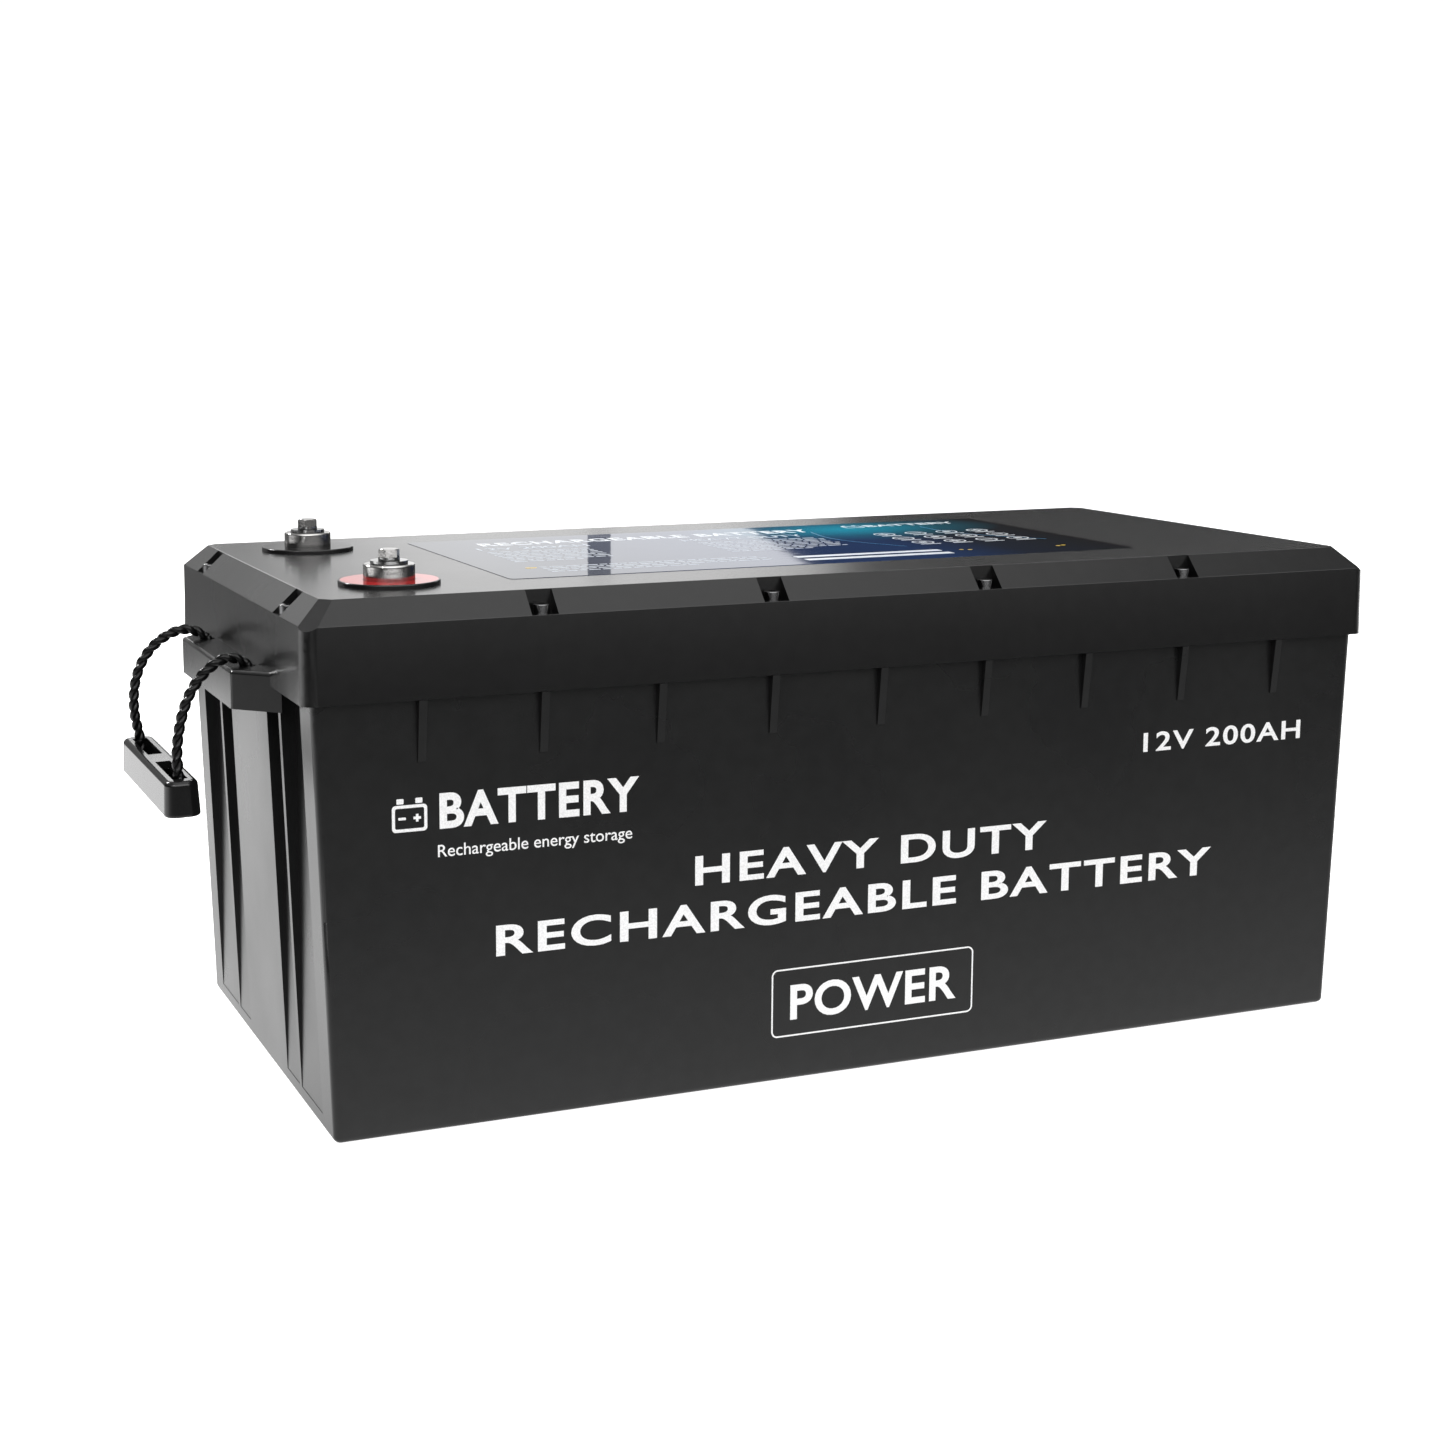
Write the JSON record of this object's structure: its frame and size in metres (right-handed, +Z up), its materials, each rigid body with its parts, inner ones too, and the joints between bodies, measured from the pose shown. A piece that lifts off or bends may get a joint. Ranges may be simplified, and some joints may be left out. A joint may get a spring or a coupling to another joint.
{
  "type": "deep cycle battery",
  "caption": "Sealed deep cycle battery for a caravan: a tapered plastic case with a screwed lid, raised bolt terminals and a rope carrying handle on each end.",
  "frame": {"origin": "middle of the underside of the case", "axes": "+X along the battery, away from the terminals; -Y is the long front face; +Z is up"},
  "size_m": [0.6078, 0.24, 0.2397],
  "materials": {
    "black_steel": "black oxide",
    "board_laminate": "solder resist",
    "bolt_steel": "satin",
    "cable_black": "satin",
    "cable_red": "satin",
    "case_plastic": "fine moulded texture",
    "cell_aluminium": "satin",
    "collar_plastic": "gloss",
    "component_plastic": "matte",
    "copper_bar": "satin",
    "electrode_foil": "matte",
    "foam": "closed-cell foam",
    "grip_plastic": "satin moulding",
    "insulation_sheet": "matte",
    "label_film": "glossy printed film",
    "lid_plastic": "satin gloss moulding",
    "plated_nut": "zinc plated",
    "plated_post": "polished plating",
    "red_film": "gloss",
    "rope": "twisted polypropylene, slightly glossy",
    "seal_rubber": "matte",
    "strap_steel": "satin",
    "washer_steel": "satin"
  },
  "bodies": {
    "housing": {"balance_connector": "component_plastic", "balance_leads": "cable_black", "base_pad": "foam", "board_heat_sink": "cell_aluminium", "busbar_1": "copper_bar", "busbar_2": "copper_bar", "busbar_3": "copper_bar", "cable_lugs": "copper_bar", "case": "case_plastic", "cell_can_1": "cell_aluminium", "cell_can_2": "cell_aluminium", "cell_can_3": "cell_aluminium", "cell_can_4": "cell_aluminium", "cell_insulation_sheets": "insulation_sheet", "cell_nuts": "plated_nut", "cell_terminals": "cell_aluminium", "cell_vents": "cell_aluminium", "current_shunts": "copper_bar", "electrode_stacks": "electrode_foil", "foam_block_left": "foam", "foam_block_right": "foam", "foam_sides": "foam", "left_rope_anchors": "rope", "lid": "lid_plastic", "lid_gasket": "seal_rubber", "lid_screws": "black_steel", "management_board": "board_laminate", "negative_post": "plated_post", "negative_terminal_collar": "collar_plastic", "output_negative_cable": "cable_black", "pack_end_plates": "cell_aluminium", "pack_negative_cable": "cable_black", "pack_straps": "strap_steel", "positive_cable": "cable_red", "positive_polarity_ring": "red_film", "positive_post": "plated_post", "positive_terminal_collar": "collar_plastic", "post_lug_bolts": "plated_nut", "post_nuts": "plated_nut", "post_seals": "seal_rubber", "power_transistors": "component_plastic", "right_rope_anchors": "rope", "side_insulation_boards": "insulation_sheet", "temperature_sensor": "component_plastic", "top_label": "label_film"},
    "left_handle": {"left_grip": "grip_plastic", "left_rope_front": "rope", "left_rope_in_grip": "rope", "left_rope_rear": "rope"},
    "right_handle": {"right_grip": "grip_plastic", "right_rope_front": "rope", "right_rope_in_grip": "rope", "right_rope_rear": "rope"},
    "positive_washers": {"positive_flat_washer": "washer_steel", "positive_spring_washer": "washer_steel"},
    "positive_bolt": {"positive_bolt": "bolt_steel"},
    "negative_washers": {"negative_flat_washer": "washer_steel", "negative_spring_washer": "washer_steel"},
    "negative_bolt": {"negative_bolt": "bolt_steel"}
  },
  "joints": [
    {"name": "left_handle_swing", "type": "hinge", "parent": "housing", "child": "left_handle", "pos_m": [-0.2655, 0, 0.1894], "axis": [0, 1, 0], "range_deg": [0, 145], "deforming": ["left_rope_front", "left_rope_rear"]},
    {"name": "right_handle_swing", "type": "hinge", "parent": "housing", "child": "right_handle", "pos_m": [0.2655, 0, 0.1894], "axis": [0, -1, 0], "range_deg": [0, 145], "deforming": ["right_rope_front", "right_rope_rear"]},
    {"name": "positive_washer_lift", "type": "slide", "parent": "housing", "child": "positive_washers", "axis": [0, 0, 1], "range_m": [0, 0.0128]},
    {"name": "positive_bolt_turn", "type": "hinge", "parent": "positive_washers", "child": "positive_bolt", "pos_m": [-0.21, -0.069, 0.2335], "axis": [0, 0, 1], "range_deg": [0, 5760]},
    {"name": "negative_washer_lift", "type": "slide", "parent": "housing", "child": "negative_washers", "axis": [0, 0, 1], "range_m": [0, 0.0128]},
    {"name": "negative_bolt_turn", "type": "hinge", "parent": "negative_washers", "child": "negative_bolt", "pos_m": [-0.21, 0.069, 0.2335], "axis": [0, 0, 1], "range_deg": [0, 5760]}
  ],
  "couplings": [
    {"joint": "positive_bolt_turn", "follows": "positive_washer_lift", "rad_per_m": 7854},
    {"joint": "negative_bolt_turn", "follows": "negative_washer_lift", "rad_per_m": 7854}
  ]
}
